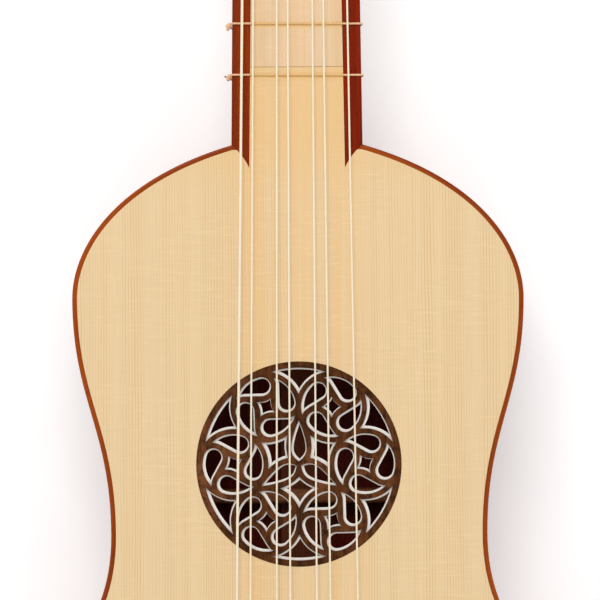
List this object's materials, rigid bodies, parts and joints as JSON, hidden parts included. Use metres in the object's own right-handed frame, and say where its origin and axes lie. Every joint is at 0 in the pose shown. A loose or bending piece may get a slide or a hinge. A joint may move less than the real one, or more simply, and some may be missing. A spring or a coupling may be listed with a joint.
{
  "type": "renaissance guitar",
  "caption": "Small flat-backed guitar with gut strings in paired courses, tied gut frets, rear-mounted tuning pegs, a tied bridge and a pierced two-layer rose.",
  "frame": {"origin": "on the outside of the flat back, below the front edge of the bridge, where the sounding length of the strings begins", "axes": "+Y along the strings from the bridge to the peghead, +X to the treble side, +Z from the back up through the soundboard"},
  "size_m": [0.206, 0.7519, 0.0761],
  "materials": {
    "spruce_top": "thin satin varnish over fine straight grain",
    "walnut_tracery": "bare dark brown wood",
    "parchment_tracery": "matt off-white parchment",
    "inner_spruce": "bare planed wood",
    "inner_cedar": "bare planed red-brown wood",
    "body_wood": "satin varnish over red-brown wood",
    "edge_binding": "satin varnish on red-brown wood",
    "lining_wood": "bare pale wood",
    "neck_wood": "satin varnish",
    "pale_board": "satin varnish over pale pinkish wood",
    "dark_strip": "satin varnish on dark red-brown wood",
    "bone": "polished off-white bone",
    "peg_wood": "polished dark fruitwood",
    "string_gut": "smooth pale cream gut",
    "fret_gut": "smooth golden gut"
  },
  "bodies": {
    "guitar": {"soundboard": "spruce_top", "rose_upper": "walnut_tracery", "rose_lower": "parchment_tracery", "top_bar_1": "inner_spruce", "top_bar_2": "inner_spruce", "top_bar_3": "inner_spruce", "back": "body_wood", "back_strip": "inner_cedar", "back_bar_1": "inner_cedar", "back_bar_2": "inner_cedar", "back_bar_3": "inner_cedar", "rib_bass": "body_wood", "rib_treble": "body_wood", "binding_bass": "edge_binding", "binding_treble": "edge_binding", "top_lining_bass": "lining_wood", "top_lining_treble": "lining_wood", "back_lining_bass": "lining_wood", "back_lining_treble": "lining_wood", "neck_block": "lining_wood", "tail_block": "lining_wood", "neck": "neck_wood", "fingerboard": "pale_board", "fingerboard_strip_bass": "dark_strip", "fingerboard_strip_treble": "dark_strip", "nut": "bone", "peghead": "neck_wood", "peghead_veneer": "dark_strip", "bridge": "dark_strip", "string_1": "string_gut", "string_2": "string_gut", "string_3": "string_gut", "string_4": "string_gut", "string_5": "string_gut", "string_6": "string_gut", "string_7": "string_gut"},
    "peg_1": {"peg_1": "peg_wood"},
    "peg_2": {"peg_2": "peg_wood"},
    "peg_3": {"peg_3": "peg_wood"},
    "peg_4": {"peg_4": "peg_wood"},
    "peg_5": {"peg_5": "peg_wood"},
    "peg_6": {"peg_6": "peg_wood"},
    "peg_7": {"peg_7": "peg_wood"},
    "fret_1": {"fret_1": "fret_gut"},
    "fret_2": {"fret_2": "fret_gut"},
    "fret_3": {"fret_3": "fret_gut"},
    "fret_4": {"fret_4": "fret_gut"},
    "fret_5": {"fret_5": "fret_gut"},
    "fret_6": {"fret_6": "fret_gut"},
    "fret_7": {"fret_7": "fret_gut"},
    "fret_8": {"fret_8": "fret_gut"},
    "fret_9": {"fret_9": "fret_gut"}
  },
  "joints": [
    {"name": "peg_1_turn", "type": "hinge", "parent": "guitar", "child": "peg_1", "pos_m": [-0.021, 0.57722, 0.06049], "axis": [0, 0.1564, 0.9877], "continuous": true, "deforming": ["string_1"]},
    {"name": "peg_2_turn", "type": "hinge", "parent": "guitar", "child": "peg_2", "pos_m": [-0.021, 0.60389, 0.05627], "axis": [0, 0.1564, 0.9877], "continuous": true, "deforming": ["string_2"]},
    {"name": "peg_3_turn", "type": "hinge", "parent": "guitar", "child": "peg_3", "pos_m": [-0.021, 0.63056, 0.05205], "axis": [0, 0.1564, 0.9877], "continuous": true, "deforming": ["string_3"]},
    {"name": "peg_4_turn", "type": "hinge", "parent": "guitar", "child": "peg_4", "pos_m": [-0.021, 0.65723, 0.04782], "axis": [0, 0.1564, 0.9877], "continuous": true, "deforming": ["string_4"]},
    {"name": "peg_5_turn", "type": "hinge", "parent": "guitar", "child": "peg_5", "pos_m": [0.021, 0.64389, 0.04994], "axis": [0, 0.1564, 0.9877], "continuous": true, "deforming": ["string_5"]},
    {"name": "peg_6_turn", "type": "hinge", "parent": "guitar", "child": "peg_6", "pos_m": [0.021, 0.61722, 0.05416], "axis": [0, 0.1564, 0.9877], "continuous": true, "deforming": ["string_6"]},
    {"name": "peg_7_turn", "type": "hinge", "parent": "guitar", "child": "peg_7", "pos_m": [0.021, 0.59056, 0.05838], "axis": [0, 0.1564, 0.9877], "continuous": true, "deforming": ["string_7"]},
    {"name": "fret_1_slide", "type": "slide", "parent": "guitar", "child": "fret_1", "axis": [0, 1, 0], "range_m": [-0.002, 0.002]},
    {"name": "fret_2_slide", "type": "slide", "parent": "guitar", "child": "fret_2", "axis": [0, 1, 0], "range_m": [-0.002, 0.002]},
    {"name": "fret_3_slide", "type": "slide", "parent": "guitar", "child": "fret_3", "axis": [0, 1, 0], "range_m": [-0.002, 0.002]},
    {"name": "fret_4_slide", "type": "slide", "parent": "guitar", "child": "fret_4", "axis": [0, 1, 0], "range_m": [-0.002, 0.002]},
    {"name": "fret_5_slide", "type": "slide", "parent": "guitar", "child": "fret_5", "axis": [0, 1, 0], "range_m": [-0.002, 0.002]},
    {"name": "fret_6_slide", "type": "slide", "parent": "guitar", "child": "fret_6", "axis": [0, 1, 0], "range_m": [-0.002, 0.002]},
    {"name": "fret_7_slide", "type": "slide", "parent": "guitar", "child": "fret_7", "axis": [0, 1, 0], "range_m": [-0.002, 0.002]},
    {"name": "fret_8_slide", "type": "slide", "parent": "guitar", "child": "fret_8", "axis": [0, 1, 0], "range_m": [-0.002, 0.002]},
    {"name": "fret_9_slide", "type": "slide", "parent": "guitar", "child": "fret_9", "axis": [0, 1, 0], "range_m": [-0.002, 0.002]}
  ]
}
